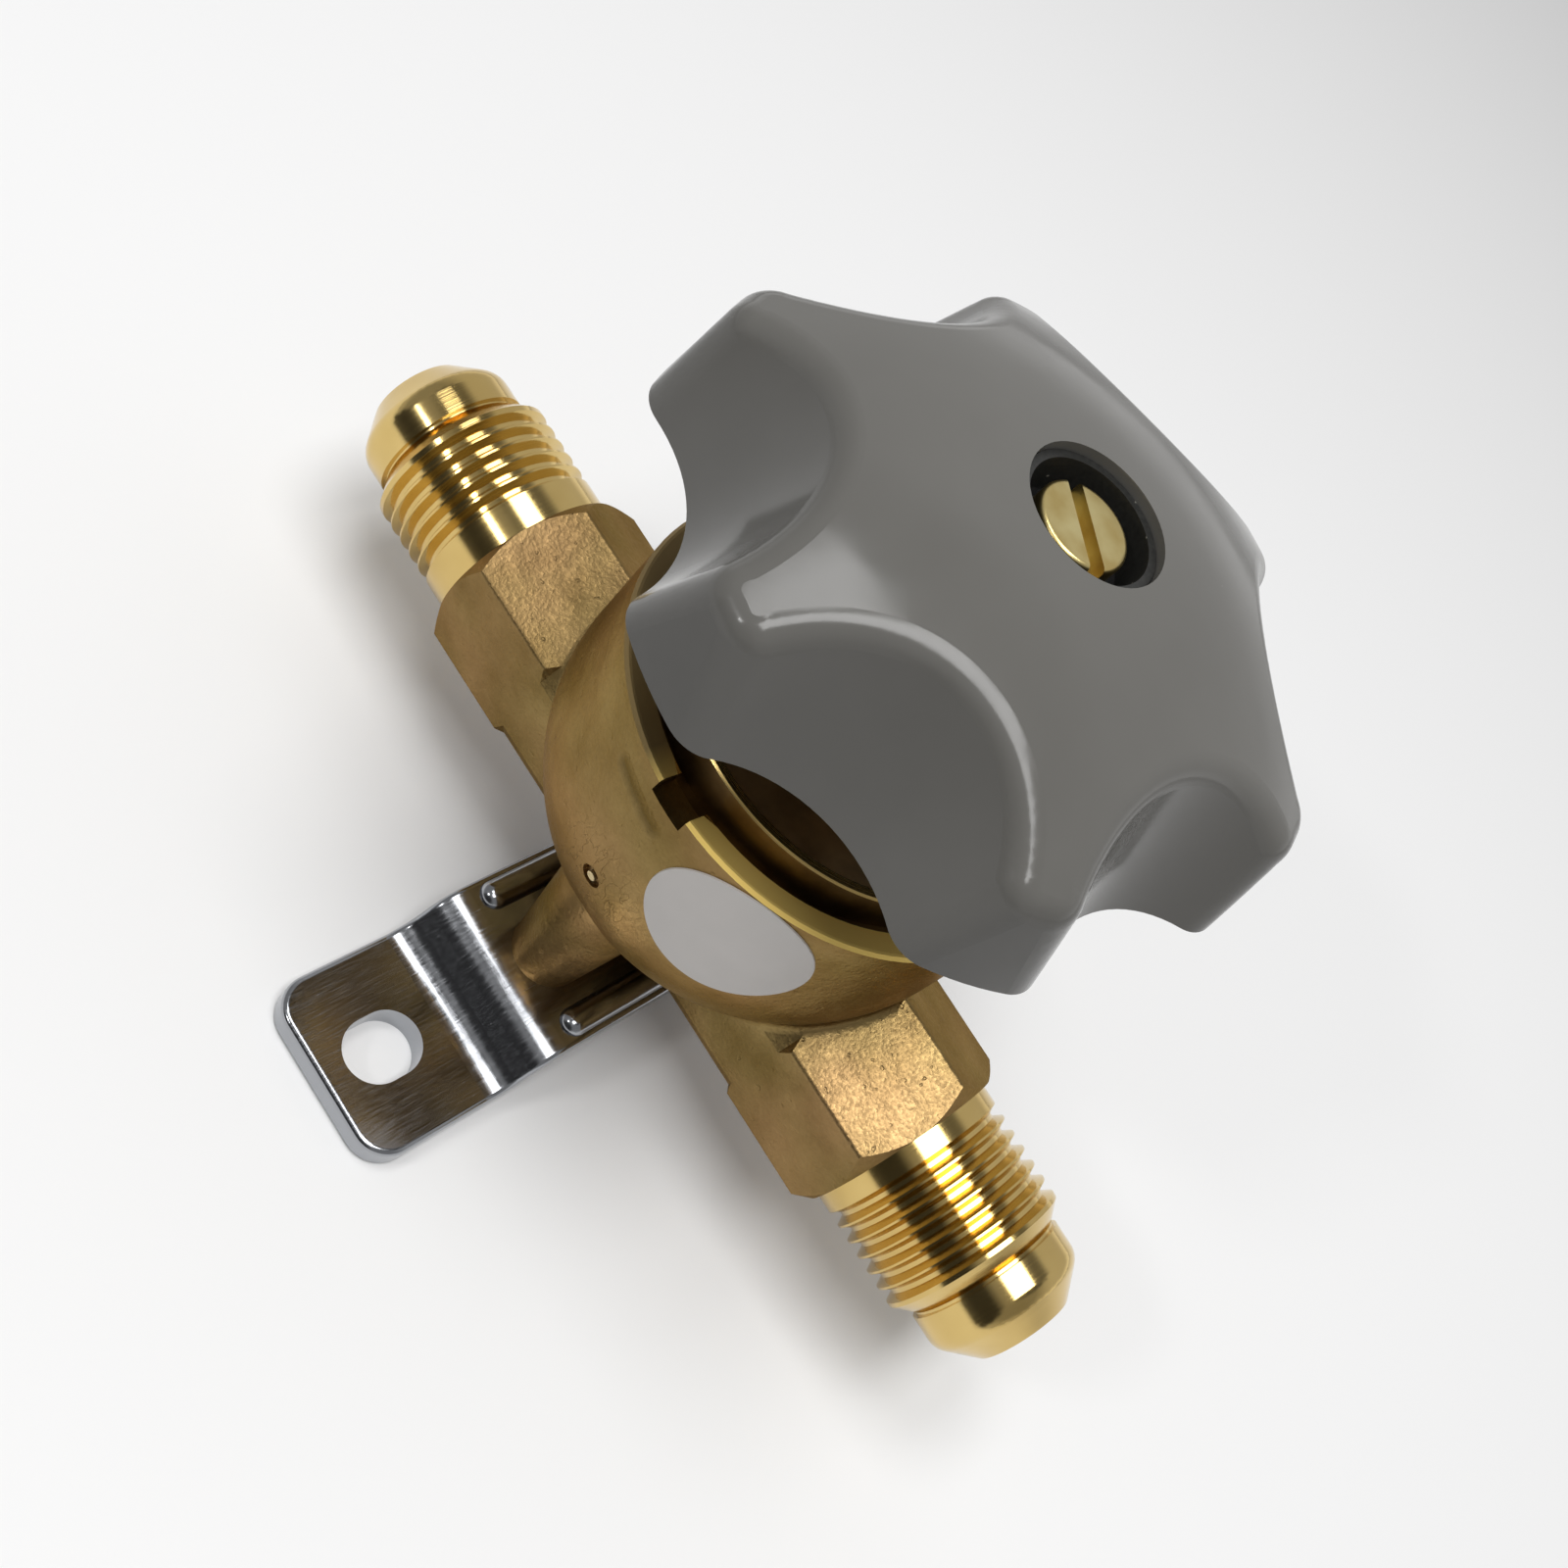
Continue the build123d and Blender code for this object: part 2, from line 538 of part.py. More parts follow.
def hub_insert():
    """Black moulded sleeve: flange under the hub, square hole for the stem, cup on top."""
    r = WHEEL_HOLE_R - RUNNING_CLEARANCE
    low = HUB_BOTTOM_Z - FACE_CLEARANCE
    sleeve = revolved([
        (0, low - INSERT_FLANGE_T), (INSERT_FLANGE_R, low - INSERT_FLANGE_T),
        (INSERT_FLANGE_R, low), (r, low), (r, INSERT_TOP_Z), (r - INSERT_WALL, INSERT_TOP_Z),
        (r - INSERT_WALL, INSERT_FLOOR_Z), (0, INSERT_FLOOR_Z)])
    square = STEM_SQUARE + 2 * RUNNING_CLEARANCE
    length = INSERT_FLOOR_Z - STEM_SQUARE_Z
    bore = disc(STEM_R + RUNNING_CLEARANCE, low - INSERT_FLANGE_T, STEM_SQUARE_Z)
    return sleeve - bore - Pos(0, 0, STEM_SQUARE_Z + length / 2) * Box(square, square, length)


def wheel_washer():
    """Plain washer under the handwheel's screw."""
    return ring(SCREW_R + HOLE_CLEARANCE, WASHER_R, INSERT_FLOOR_Z, WASHER_TOP_Z)


def wheel_screw():
    """Slotted cheese-head screw that holds the handwheel down."""
    head = disc(SCREW_HEAD_R, WASHER_TOP_Z, SCREW_TOP_Z)
    head = fillet(head.edges().sort_by(Axis.Z)[-1], SCREW_HEAD_EDGE_R)
    slot = Pos(0, 0, SCREW_TOP_Z) * Box(3 * SCREW_HEAD_R, SCREW_SLOT_WIDTH, 2 * SCREW_SLOT_DEPTH)
    head -= Rot(0, 0, SCREW_SLOT_ANGLE) * slot
    shank = disc(SCREW_R, WASHER_TOP_Z - SCREW_LENGTH, WASHER_TOP_Z)
    return head + chamfer(shank.edges().sort_by(Axis.Z)[0], STEM_CHAMFER)


def strip_profile():
    """Side view of the hat bracket, a bent strip of even thickness, as (y, z) points."""
    shift = STRIP_T * tan(radians(BEND_ANGLE / 2))
    run = BRACKET_DROP / tan(radians(BEND_ANGLE))
    half = [(BEND_Y, FOOT_Z), (BEND_Y + run, EAR_Z), (BRACKET_LENGTH / 2, EAR_Z),
            (BRACKET_LENGTH / 2, EAR_Z - STRIP_T), (BEND_Y + run - shift, EAR_Z - STRIP_T),
            (BEND_Y - shift, FOOT_Z - STRIP_T)]
    other = [(-y, z) for y, z in reversed(half)]
    return half, other


def bent_strip():
    """The strip with its four bends, rounded ear corners and soft edges all round."""
    half, other = strip_profile()
    side = make_face(Polyline(*half, *other, close=True))
    radii = {0: BEND_R + STRIP_T, 1: EAR_BEND_R, 4: EAR_BEND_R + STRIP_T, 5: BEND_R}
    for index, radius in radii.items():
        y, z = half[index]
        side = fillet([v for v in side.vertices()
                       if abs(abs(v.X) - y) < NEAR and abs(v.Y - z) < NEAR], radius)
    strip = extrude(Plane.YZ * side, STRIP_WIDTH / 2, both=True)
    end_y = BRACKET_LENGTH / 2 - NEAR
    corners = [e for e in strip.edges().filter_by(Axis.Z) if abs(e.center().Y) > end_y]
    strip = fillet(corners, EAR_CORNER_R)
    upright = strip.edges().filter_by(Axis.Z)
    outline = [e for e in strip.edges() if e not in upright
               and (abs(e.center().X) > STRIP_WIDTH / 4 or abs(e.center().Y) > end_y)]
    return fillet(outline, STRIP_EDGE_R)


def bead(x, z, width, height):
    """Round-topped bar along Y that stands on a height, for a pressed bead or its groove."""
    outline = Pos(x, 0) * Rot(0, 0, 90) * SlotOverall(BEAD_LENGTH - BEAD_WIDTH + width, width)
    bar = extrude(Plane.XY.offset(z - OVERRUN) * outline, OVERRUN + height)
    return fillet(bar.edges().group_by(Axis.Z)[-1], (width - BEAD_CREST_WIDTH) / 2)


def bracket():
    """Hat-shaped strip: raised plate with two beads, a bend down each side, slotted ears."""
    strip = bent_strip()
    for y in (-EAR_SLOT_Y, EAR_SLOT_Y):
        slot = Rot(0, 0, 90) * SlotOverall(EAR_SLOT_LENGTH, EAR_SLOT_WIDTH)
        strip -= extrude(Plane.XY.offset(EAR_Z - 2 * STRIP_T) * Pos(0, y) * slot, 3 * STRIP_T)
    for y in (-BRACKET_SCREW_Y, BRACKET_SCREW_Y):
        strip -= Pos(0, y, FOOT_Z) * Cylinder(BRACKET_SCREW_R + HOLE_CLEARANCE, 3 * STRIP_T)
    for x in (-BEAD_X, BEAD_X):
        strip += bead(x, FOOT_Z, BEAD_WIDTH, BEAD_H)
        strip -= bead(x, FOOT_Z - STRIP_T, BEAD_GROOVE_WIDTH, BEAD_GROOVE_H)
    return strip


def bracket_screws():
    """Two slotted screws, heads down, through the plate into the foot."""
    seat_z = FOOT_Z - STRIP_T - BRACKET_WASHER_T
    shank = disc(BRACKET_SCREW_R, seat_z, FOOT_Z + BRACKET_SCREW_DEPTH - STEM_CHAMFER)
    head = disc(BRACKET_HEAD_R, seat_z - BRACKET_HEAD_H, seat_z)
    head = fillet(head.edges().sort_by(Axis.Z)[0], BRACKET_HEAD_H / 3)
    slot = Box(3 * BRACKET_HEAD_R, BRACKET_SLOT_WIDTH, 2 * BRACKET_SLOT_DEPTH)
    screw = head - Pos(0, 0, seat_z - BRACKET_HEAD_H) * slot + shank
    return Compound(children=[Pos(0, y, 0) * screw for y in (-BRACKET_SCREW_Y, BRACKET_SCREW_Y)])


def bracket_washers():
    """A washer under each bracket screw's head."""
    top = FOOT_Z - STRIP_T
    washer = ring(BRACKET_SCREW_R + HOLE_CLEARANCE, BRACKET_WASHER_R, top - BRACKET_WASHER_T, top)
    return Compound(children=[Pos(0, y, 0) * washer for y in (-BRACKET_SCREW_Y, BRACKET_SCREW_Y)])


def label():
    """Thin oval metal label, bent round the drum."""
    skin = ring(DRUM_R, DRUM_R + LABEL_T, LABEL_Z - LABEL_HEIGHT, LABEL_Z + LABEL_HEIGHT)
    oval = Ellipse(LABEL_WIDTH / 2, LABEL_HEIGHT / 2)
    return skin & extrude(at_drum_wall(LABEL_ANGLE, LABEL_Z) * oval, DRUM_R / 4, both=True)


def all_parts():
    """Every node of the valve, by name."""
    return {
        "valve_body": valve_body(),
        "bonnet": bonnet(),
        "slip_ring": slip_ring(),
        "diaphragm_lower": diaphragm(0),
        "diaphragm_middle": diaphragm(1),
        "diaphragm_upper": diaphragm(2),
        "plunger": plunger(),
        "seat_disc": seat_disc(),
        "disc_screw": disc_screw(),
        "opening_spring": opening_spring(),
        "thrust_button": thrust_button(),
        "stem": stem(),
        "backseat_ring": backseat_ring(),
        "dust_o_ring": dust_o_ring(),
        "gland_ring": gland_ring(),
        "handwheel": handwheel(),
        "hub_insert": hub_insert(),
        "wheel_washer": wheel_washer(),
        "wheel_screw": wheel_screw(),
        "bracket": bracket(),
        "bracket_screws": bracket_screws(),
        "bracket_washers": bracket_washers(),
        "label": label(),
    }


os.makedirs("parts", exist_ok=True)
for name, shape in all_parts().items():
    export_step(Pos(0, 0, PORT_HEIGHT) * shape, f"parts/{name}.step")
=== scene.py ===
import json
from math import pi, radians

import bpy
from mathutils import Matrix, Vector


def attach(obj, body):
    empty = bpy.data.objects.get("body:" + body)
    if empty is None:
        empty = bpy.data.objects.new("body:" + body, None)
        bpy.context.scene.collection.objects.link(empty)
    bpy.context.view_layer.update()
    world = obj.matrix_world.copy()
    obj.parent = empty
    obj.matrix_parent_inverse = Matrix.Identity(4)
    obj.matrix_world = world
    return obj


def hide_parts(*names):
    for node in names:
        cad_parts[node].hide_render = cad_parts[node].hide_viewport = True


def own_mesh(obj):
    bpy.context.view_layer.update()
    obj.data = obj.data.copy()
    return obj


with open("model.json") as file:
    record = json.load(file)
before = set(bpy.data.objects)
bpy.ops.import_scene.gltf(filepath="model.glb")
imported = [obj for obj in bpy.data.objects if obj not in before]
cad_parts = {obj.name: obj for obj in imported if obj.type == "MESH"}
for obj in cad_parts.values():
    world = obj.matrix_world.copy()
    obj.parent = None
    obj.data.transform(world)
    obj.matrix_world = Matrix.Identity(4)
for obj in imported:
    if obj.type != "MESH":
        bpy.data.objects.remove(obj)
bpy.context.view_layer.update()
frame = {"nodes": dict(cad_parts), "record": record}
node = frame["nodes"]
MM = 0.001

# The camera looks down on the valve from the front, near enough for plain perspective, and is
# turned on its own axis so that the ports run from upper left to lower right.
CAMERA_PLACE = Vector((16.0, -93.05, 128.44)) * MM
PICTURE_RIGHT = Vector((0.5456, 0.6556, 0.5222)).normalized()
PICTURE_DOWN = Vector((0.8300, -0.3370, -0.4443)).normalized()
LENS_MM = 40.9
SENSOR_MM = 36.0
NEAREST_SEEN = 5 * MM

camera = bpy.data.objects.new("camera", bpy.data.cameras.new("camera"))
bpy.context.scene.collection.objects.link(camera)
camera.data.lens = LENS_MM
camera.data.sensor_width = SENSOR_MM
camera.data.clip_start = NEAREST_SEEN
towards_camera = PICTURE_RIGHT.cross(-PICTURE_DOWN)
turn = Matrix((PICTURE_RIGHT, -PICTURE_DOWN, towards_camera)).transposed()
camera.matrix_world = Matrix.Translation(CAMERA_PLACE) @ turn.to_4x4()
bpy.context.scene.camera = camera


# The studio: a matt white table under two soft boxes, with a narrow light at the front left, in a
# room with pale walls, a dark ceiling and a dark front, so that bright metal has both to show.
VALVE_MIDDLE = 35 * MM
TABLE_HALF = 2.0
TABLE_SEEN = 0.88
TABLE_BOUNCE = 0.20
WALLS_BY_HEIGHT = ((0.0, 0.55), (0.08, 0.48), (0.22, 0.30), (0.80, 0.30), (0.88, 0.10), (1.0, 0.08))
FRONT_DIMMED = 0.14
FRONT_EDGE = (-0.80, -0.66)
BACK_LIFTED = 1.9
BACK_EDGE = (0.1, 0.5)


def soft_light(name, direction, distance_mm, size_mm, radiance):
    """A rectangular lamp that faces the valve from one direction, its first side along X."""
    lamp = bpy.data.lights.new(name, "AREA")
    lamp.shape = "RECTANGLE"
    lamp.size, lamp.size_y = (side * MM for side in size_mm)
    lamp.energy = radiance * pi * lamp.size * lamp.size_y
    stand = bpy.data.objects.new(name, lamp)
    bpy.context.scene.collection.objects.link(stand)
    away = Vector(direction).normalized()
    upwards = away.cross(Vector((1, 0, 0))).normalized()
    turn = Matrix((upwards.cross(away), upwards, away)).transposed()
    place = Vector((0, 0, VALVE_MIDDLE)) + away * distance_mm * MM
    stand.matrix_world = Matrix.Translation(place) @ turn.to_4x4()


def put(tree, kind, settings=None, **sockets):
    """Add a shader node, set its options, and set or link its sockets.

    A socket goes by its name, with _ for a space, or by s and its number.
    """
    made = tree.nodes.new(kind)
    for key, value in (settings or {}).items():
        setattr(made, key, value)
    for key, value in sockets.items():
        numbered = key[0] == "s" and key[1:].isdigit()
        socket = made.inputs[int(key[1:]) if numbered else key.replace("_", " ")]
        if isinstance(value, bpy.types.NodeSocket):
            tree.links.new(value, socket)
        else:
            socket.default_value = value
    return made


def calc(tree, operation, first, second):
    """One sum on two numbers."""
    return put(tree, "ShaderNodeMath", {"operation": operation}, s0=first, s1=second).outputs[0]


def stops(tree, factor, *pairs):
    """A ramp through several (place, grey or colour) stops."""
    ramp = put(tree, "ShaderNodeValToRGB", Fac=factor)
    elements = ramp.color_ramp.elements
    while len(elements) < len(pairs):
        elements.new(1.0)
    for element, (place, value) in zip(elements, pairs):
        element.position = place
        element.color = (*value, 1) if isinstance(value, tuple) else (value, value, value, 1)
    return ramp.outputs["Color"]


def spread(tree, factor, low, high, start=0.0, end=1.0):
    """Map a factor, as it goes from start to end, between two values or two colours."""
    if isinstance(low, tuple):
        return stops(tree, factor, (start, low), (end, high))
    return put(tree, "ShaderNodeMapRange", Value=factor, From_Min=start, From_Max=end,
               To_Min=low, To_Max=high).outputs["Result"]


bpy.context.scene.view_settings.view_transform = "Standard"

soft_light("overhead_right", direction=(0.13, -0.21, 0.97), distance_mm=612, size_mm=(220, 370),
           radiance=9.2)
soft_light("overhead_left", direction=(-0.28, -0.10, 0.95), distance_mm=626, size_mm=(180, 235),
           radiance=7.5)
soft_light("front_strip", direction=(-0.36, -0.72, 0.59), distance_mm=620, size_mm=(90, 48),
           radiance=26.0)

mesh = bpy.data.meshes.new("table")
mesh.from_pydata([(-TABLE_HALF, -TABLE_HALF, 0), (TABLE_HALF, -TABLE_HALF, 0),
                  (TABLE_HALF, TABLE_HALF, 0), (-TABLE_HALF, TABLE_HALF, 0)], [], [(0, 1, 2, 3)])
table = bpy.data.objects.new("table", mesh)
bpy.context.scene.collection.objects.link(table)

white_table = bpy.data.materials.new("white_table")
white_table.use_nodes = True
tree = white_table.node_tree
tree.nodes.clear()
ray = put(tree, "ShaderNodeLightPath").outputs
seen = calc(tree, "MAXIMUM", ray["Is Camera Ray"], ray["Is Glossy Ray"])
seen = calc(tree, "MAXIMUM", seen, ray["Is Transmission Ray"])
paint = put(tree, "ShaderNodeBsdfDiffuse", Color=spread(tree, seen, TABLE_BOUNCE, TABLE_SEEN))
put(tree, "ShaderNodeOutputMaterial", Surface=paint.outputs[0])
table.data.materials.append(white_table)

room = bpy.data.worlds.new("room")
bpy.context.scene.world = room
room.use_nodes = True
tree = room.node_tree
tree.nodes.clear()
towards = put(tree, "ShaderNodeTexCoord").outputs["Generated"]
towards = put(tree, "ShaderNodeSeparateXYZ", Vector=towards).outputs
walls = stops(tree, towards["Z"], *WALLS_BY_HEIGHT)
front = spread(tree, towards["Y"], FRONT_DIMMED, 1.0, *FRONT_EDGE)
back = spread(tree, towards["Y"], 1.0, BACK_LIFTED, *BACK_EDGE)
light = put(tree, "ShaderNodeBackground", Color=walls, Strength=calc(tree, "MULTIPLY", front, back))
put(tree, "ShaderNodeOutputWorld", Surface=light.outputs[0])


# Valve body: one brass forging, tumbled to a dull tan skin, with the flare ends, the rim and
# the bore turned bright on a lathe.
PORT_HEIGHT = 16.7 * MM
HEXAGON_END = 28.19 * MM
RIM_HEIGHT = PORT_HEIGHT + 21.8 * MM
BORE_RADIUS = 17.3 * MM
BORE_FLOOR = PORT_HEIGHT + 4 * MM
PUNCH_MARK = Vector((-0.67, -19.09, 26.3)) * MM
SCAR_START = Vector((-4.9, -18.5, 36.0)) * MM
SCAR_END = Vector((-0.1, -19.1, 35.4)) * MM
SCAR_WIDTH = (0.1 * MM, 0.9 * MM)
SCAR_SHADE = 0.62
PUNCH_CORE_MM = (0.65, 1.0)
LAPS_REACH_MM = (2.5, 5.5)
PINK_BELOW = (8 * MM, 13 * MM)
FORGED_OLIVE = ((0.185, 0.126, 0.044), (0.325, 0.232, 0.094))
FORGED_PINK = ((0.205, 0.126, 0.051), (0.345, 0.222, 0.099))
FORGED_EDGE_TINT = (0.63, 0.52, 0.41, 1)
PUNCH_BRIGHT = (0.72, 0.60, 0.36, 1)
TURNED_BRASS = ((0.58, 0.40, 0.135), (0.72, 0.53, 0.21))
RIM_PAINTED_SHADE = (0.34, 0.24, 0.10)
RIM_BRIGHT = (1.00, 0.74, 0.22)
RIM_SHADE_EDGE = (-4.5 * MM, -1.5 * MM)


def surface_of(name, colour, metallic, roughness, **sockets):
    """A new material, in the plain colour that it has under any pattern: returns it with its
    node tree and its surface shader."""
    material = bpy.data.materials.new(name)
    material.use_nodes = True
    tree = material.node_tree
    surface = tree.nodes["Principled BSDF"]
    surface.inputs["Base Color"].default_value = (*colour, 1)
    surface.inputs["Metallic"].default_value = metallic
    surface.inputs["Roughness"].default_value = roughness
    for key, value in sockets.items():
        surface.inputs[key.replace("_", " ")].default_value = value
    return material, tree, surface


def on_object(tree):
    """Where a point of the surface lies in the valve's own frame."""
    return put(tree, "ShaderNodeTexCoord").outputs["Object"]


def along_axes(tree):
    """The same place as its X, Y and Z."""
    return put(tree, "ShaderNodeSeparateXYZ", Vector=on_object(tree)).outputs


def grain(tree, size_mm, detail=3.0, stretch=(1, 1, 1)):
    """Noise fixed to the object, of about a given size in millimetres."""
    place = put(tree, "ShaderNodeMapping", Vector=on_object(tree), Scale=stretch).outputs[0]
    return put(tree, "ShaderNodeTexNoise", Vector=place, Scale=1 / (size_mm * MM),
               Detail=detail).outputs["Fac"]


def lathe_rings(tree, axis, pitch_mm):
    """Fine uneven rings round the port axis (X) or the stem axis (Z)."""
    place = along_axes(tree)
    if axis == "X":
        across = put(tree, "ShaderNodeCombineXYZ", X=place["X"])
    else:
        flat = put(tree, "ShaderNodeCombineXYZ", X=place["X"], Y=place["Y"])
        radius = put(tree, "ShaderNodeVectorMath", {"operation": "LENGTH"}, s0=flat.outputs[0])
        across = put(tree, "ShaderNodeCombineXYZ", X=radius.outputs["Value"], Y=place["Z"])
    return put(tree, "ShaderNodeTexNoise", Vector=across.outputs[0], Scale=1 / (pitch_mm * MM),
               Detail=2.0).outputs["Fac"]


def vary(tree, surface, socket, pattern, low, high, start=0.3, end=0.7):
    """Let a surface's colour or one of its values follow a pattern."""
    tree.links.new(spread(tree, pattern, low, high, start, end), surface.inputs[socket])


def raised(tree, surface, height, depth_mm):
    """Bump the surface by a height field; bumps add to the ones already there."""
    normal = surface.inputs["Normal"]
    below = {"Normal": normal.links[0].from_socket} if normal.links else {}
    bump = put(tree, "ShaderNodeBump", Height=height, Distance=depth_mm * MM, Strength=1.0, **below)
    tree.links.new(bump.outputs[0], normal)


def blended(tree, share, first, second):
    """One colour that turns into another as a share goes from 0 to 1."""
    return put(tree, "ShaderNodeMix", {"data_type": "RGBA"}, Factor=share, s6=first,
               s7=second).outputs[2]


def vector_calc(tree, operation, first, second, result="Vector"):
    """One sum on two places or directions."""
    return put(tree, "ShaderNodeVectorMath", {"operation": operation}, s0=first,
               s1=second).outputs[result]


def scaled(tree, vector, factor):
    """A direction or a colour, times a number."""
    return put(tree, "ShaderNodeVectorMath", {"operation": "SCALE"}, s0=vector,
               Scale=factor).outputs[0]


def die_scar(tree):
    """A shallow groove that the die left in the drum's front: 0 along its line, 1 elsewhere."""
    run = SCAR_END - SCAR_START
    away = vector_calc(tree, "SUBTRACT", on_object(tree), SCAR_START)
    along = vector_calc(tree, "DOT_PRODUCT", away, run / run.length_squared, "Value")
    held = put(tree, "ShaderNodeClamp", Value=along).outputs[0]
    gap = vector_calc(tree, "DISTANCE", away, scaled(tree, run, held), "Value")
    return spread(tree, gap, 0.0, 1.0, *SCAR_WIDTH)


def from_punch(tree, near_mm, far_mm):
    """0 round the punch mark on the drum's front, rising to 1 between two distances."""
    gap = vector_calc(tree, "DISTANCE", on_object(tree), PUNCH_MARK, "Value")
    return spread(tree, gap, 0.0, 1.0, near_mm * MM, far_mm * MM)


def cold_laps(tree):
    """Fine wrinkles round the punch mark: 0 along their lines, 1 elsewhere."""
    ripple = grain(tree, size_mm=1.3, detail=2.0, stretch=(1.6, 1.0, 0.7))
    wave = calc(tree, "SUBTRACT", ripple, 0.5)
    line = put(tree, "ShaderNodeMath", {"operation": "ABSOLUTE"}, s0=wave).outputs[0]
    lines = spread(tree, line, 0.0, 1.0, 0.0, 0.02)
    return calc(tree, "MAXIMUM", lines, from_punch(tree, *LAPS_REACH_MM))


def forged_brass():
    """Dull tan brass, olive above and pinker low down and in clouds, with a fine blasted grain,
    pits and shallow hammered waves."""
    material, tree, surface = surface_of("forged_brass", (0.31, 0.21, 0.085), metallic=1.0,
                                         roughness=0.41, Specular_Tint=FORGED_EDGE_TINT)
    patches = grain(tree, size_mm=7.0, detail=4.0)
    low = spread(tree, along_axes(tree)["Z"], 1.0, 0.0, *PINK_BELOW)
    cloud = spread(tree, grain(tree, size_mm=13.0, detail=2.0), 0.0, 1.0, 0.38, 0.62)
    tint = blended(tree, calc(tree, "MAXIMUM", low, cloud),
                   spread(tree, patches, *FORGED_OLIVE, 0.30, 0.72),
                   spread(tree, patches, *FORGED_PINK, 0.30, 0.72))
    scar = die_scar(tree)
    # Painted shade: the tint is darkened along the die scar's groove.
    scar_shaded_tint = scaled(tree, tint, spread(tree, scar, SCAR_SHADE, 1.0))
    punched = blended(tree, from_punch(tree, *PUNCH_CORE_MM), PUNCH_BRIGHT, scar_shaded_tint)
    tree.links.new(punched, surface.inputs["Base Color"])
    fine = grain(tree, size_mm=0.28, detail=2.0)
    vary(tree, surface, "Roughness", fine, 0.34, 0.48)
    raised(tree, surface, grain(tree, size_mm=2.6, detail=3.0), depth_mm=0.16)
    raised(tree, surface, fine, depth_mm=0.04)
    pits = spread(tree, grain(tree, size_mm=0.7, detail=1.0), 0.0, 1.0, 0.22, 0.31)
    raised(tree, surface, pits, depth_mm=0.035)
    raised(tree, surface, scar, depth_mm=0.14)
    raised(tree, surface, cold_laps(tree), depth_mm=0.09)
    return material


def turned_brass(name, axis, roughness=0.12):
    """Bright yellow brass with fine tool rings."""
    material, tree, surface = surface_of(name, (0.70, 0.50, 0.19), metallic=1.0,
                                         roughness=roughness)
    vary(tree, surface, "Base Color", grain(tree, size_mm=9.0, detail=3.0), *TURNED_BRASS)
    rings = lathe_rings(tree, axis, pitch_mm=0.12)
    vary(tree, surface, "Roughness", rings, roughness - 0.04, roughness + 0.08)
    raised(tree, surface, rings, depth_mm=0.004)
    return material


def rim_brass():
    """Saturated satin brass of the rim's countersink, painted darker on the inlet side as painted
    shade.
    """
    material, tree, surface = surface_of("rim_brass", (0.92, 0.67, 0.19), metallic=0.70,
                                         roughness=0.60)
    # Painted shade: the rim's colour darkens towards the inlet side.
    side = spread(tree, along_axes(tree)["X"], 0.0, 1.0, *RIM_SHADE_EDGE)
    vary(tree, surface, "Base Color", side, RIM_PAINTED_SHADE, RIM_BRIGHT, 0.0, 1.0)
    raised(tree, surface, lathe_rings(tree, "Z", pitch_mm=0.3), depth_mm=0.004)
    return material


def finish(coats, *names, crease_degrees=32):
    """Give nodes their materials, and smooth shading between their real edges."""
    for name in names:
        shape = node[name].data
        shape.shade_smooth()
        shape.set_sharp_from_angle(angle=radians(crease_degrees))
        shape.materials.clear()
        for coat in coats:
            shape.materials.append(coat)


def stem_distance(face):
    """How far the middle of a face lies from the stem's axis."""
    return (face.center.x * face.center.x + face.center.y * face.center.y) ** 0.5


finish([forged_brass(), turned_brass("turned_flare_brass", "X"),
        turned_brass("turned_bore_brass", "Z", 0.22), rim_brass()], "valve_body")
FORGED, FLARE, BORE, RIM = range(4)
for face in node["valve_body"].data.polygons:
    x, y, z = face.center
    faces_inwards = face.normal.x * x + face.normal.y * y < 0
    if abs(x) > HEXAGON_END:
        face.material_index = FLARE
    elif z > RIM_HEIGHT:
        face.material_index = RIM
    elif stem_distance(face) < BORE_RADIUS and faces_inwards and z > BORE_FLOOR:
        face.material_index = BORE
    else:
        face.material_index = FORGED


# Bonnet, gland ring, stem, button, plunger and the handwheel's screw: turned from brass bar. The
# bonnet screws into the drum; its brass is painted dark brown as painted shade from the handwheel,
# but for the bright edge of its ring.
BONNET_EDGE_HEIGHT = PORT_HEIGHT + 23.8 * MM
BONNET_EDGE_RADIUS = 15 * MM
BONNET_RECESS_RADIUS = 15.15 * MM
BONNET_SHADE_BROWNS = ((0.11, 0.066, 0.026), (0.21, 0.135, 0.055))
RECESS_SHADE_BROWNS = ((0.34, 0.23, 0.11), (0.52, 0.36, 0.18))
SCREW_BRASS = ((0.62, 0.47, 0.18), (0.78, 0.66, 0.32))


def shade_painted_brass(name, dark, light):
    """Brass painted brown between two colours, as painted shade for the hollow under the handwheel.
    """
    material, tree, surface = surface_of(name, light, metallic=1.0, roughness=0.45)
    vary(tree, surface, "Base Color", grain(tree, size_mm=3.0, detail=4.0), dark, light)
    raised(tree, surface, lathe_rings(tree, "Z", pitch_mm=0.2), depth_mm=0.004)
    return material


def screw_brass():
    """Pale satin brass of a cut screw."""
    material, tree, surface = surface_of("screw_brass", (0.70, 0.56, 0.25), metallic=1.0,
                                         roughness=0.30)
    vary(tree, surface, "Base Color", grain(tree, size_mm=2.2, detail=2.0), *SCREW_BRASS)
    raised(tree, surface, grain(tree, size_mm=0.12, detail=2.0), depth_mm=0.004)
    return material


bar_brass = turned_brass("turned_bar_brass", "Z", 0.24)
finish([bar_brass], "gland_ring", "stem", "thrust_button", "plunger")
finish([screw_brass()], "wheel_screw")
